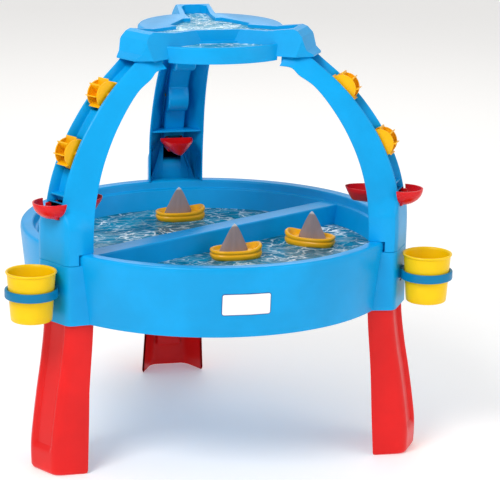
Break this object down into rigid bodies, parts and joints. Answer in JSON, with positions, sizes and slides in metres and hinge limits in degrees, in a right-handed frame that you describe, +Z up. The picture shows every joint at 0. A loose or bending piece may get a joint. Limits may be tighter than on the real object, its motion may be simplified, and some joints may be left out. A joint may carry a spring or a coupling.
{
  "type": "sand and water table",
  "caption": "Round sand and water play table with a divided basin on splayed legs, arched water channels with paddle wheels and scoops, a raised tray, cups and boats.",
  "frame": {"origin": "on the floor, under the middle of the object's box", "axes": "+X to the right and -Y to the front, where the label is; +Z up"},
  "size_m": [0.722, 0.667, 0.69],
  "materials": {
    "body_blue": "smooth cyan-blue moulded plastic",
    "leg_red": "smooth red moulded plastic",
    "scoop_red": "smooth red moulded plastic",
    "wheel_yellow": "smooth yellow moulded plastic",
    "cup_yellow": "smooth yellow moulded plastic",
    "ring_teal": "satin teal-blue moulded plastic",
    "hull_amber": "smooth amber-yellow moulded plastic",
    "sail_grey": "satin warm grey plastic",
    "label_white": "blank white printed film"
  },
  "bodies": {
    "table": {"basin": "body_blue", "top_tray": "body_blue", "front_label": "label_white", "arm_rear": "body_blue", "leg_rear": "leg_red", "scoop_rear": "scoop_red", "arm_left": "body_blue", "leg_left": "leg_red", "scoop_left": "scoop_red", "arm_right": "body_blue", "leg_right": "leg_red", "scoop_right": "scoop_red", "cup_ring_left": "ring_teal", "cup_ring_right": "ring_teal"},
    "wheel_rear_upper": {"wheel_rear_upper": "wheel_yellow"},
    "wheel_rear_lower": {"wheel_rear_lower": "wheel_yellow"},
    "wheel_left_upper": {"wheel_left_upper": "wheel_yellow"},
    "wheel_left_lower": {"wheel_left_lower": "wheel_yellow"},
    "wheel_right_upper": {"wheel_right_upper": "wheel_yellow"},
    "wheel_right_lower": {"wheel_right_lower": "wheel_yellow"},
    "cup_left": {"cup_left": "cup_yellow"},
    "cup_right": {"cup_right": "cup_yellow"},
    "boat_rear": {"boat_rear_hull": "hull_amber", "boat_rear_sail": "sail_grey"},
    "boat_front": {"boat_front_hull": "hull_amber", "boat_front_sail": "sail_grey"},
    "boat_right": {"boat_right_hull": "hull_amber", "boat_right_sail": "sail_grey"}
  },
  "joints": [
    {"name": "wheel_rear_upper_spin", "type": "hinge", "parent": "table", "child": "wheel_rear_upper", "pos_m": [0, 0.19992, 0.59235], "axis": [-1, 0, 0], "continuous": true},
    {"name": "wheel_rear_lower_spin", "type": "hinge", "parent": "table", "child": "wheel_rear_lower", "pos_m": [0, 0.26423, 0.50878], "axis": [-1, 0, 0], "continuous": true},
    {"name": "wheel_left_upper_spin", "type": "hinge", "parent": "table", "child": "wheel_left_upper", "pos_m": [-0.19435, -0.13671, 0.59235], "axis": [0.5, -0.866, 0], "continuous": true},
    {"name": "wheel_left_lower_spin", "type": "hinge", "parent": "table", "child": "wheel_left_lower", "pos_m": [-0.25005, -0.16887, 0.50878], "axis": [0.5, -0.866, 0], "continuous": true},
    {"name": "wheel_right_upper_spin", "type": "hinge", "parent": "table", "child": "wheel_right_upper", "pos_m": [0.19435, -0.13671, 0.59235], "axis": [0.5, 0.866, 0], "continuous": true},
    {"name": "wheel_right_lower_spin", "type": "hinge", "parent": "table", "child": "wheel_right_lower", "pos_m": [0.25005, -0.16887, 0.50878], "axis": [0.5, 0.866, 0], "continuous": true},
    {"name": "cup_left_lift", "type": "slide", "parent": "table", "child": "cup_left", "axis": [0, 0, 1], "range_m": [0, 0.07]},
    {"name": "cup_right_lift", "type": "slide", "parent": "table", "child": "cup_right", "axis": [0, 0, 1], "range_m": [0, 0.07]},
    {"name": "boat_rear_lift", "type": "slide", "parent": "table", "child": "boat_rear", "axis": [0, 0, 1], "range_m": [0, 0.06]},
    {"name": "boat_front_lift", "type": "slide", "parent": "table", "child": "boat_front", "axis": [0, 0, 1], "range_m": [0, 0.06]},
    {"name": "boat_right_lift", "type": "slide", "parent": "table", "child": "boat_right", "axis": [0, 0, 1], "range_m": [0, 0.06]}
  ]
}
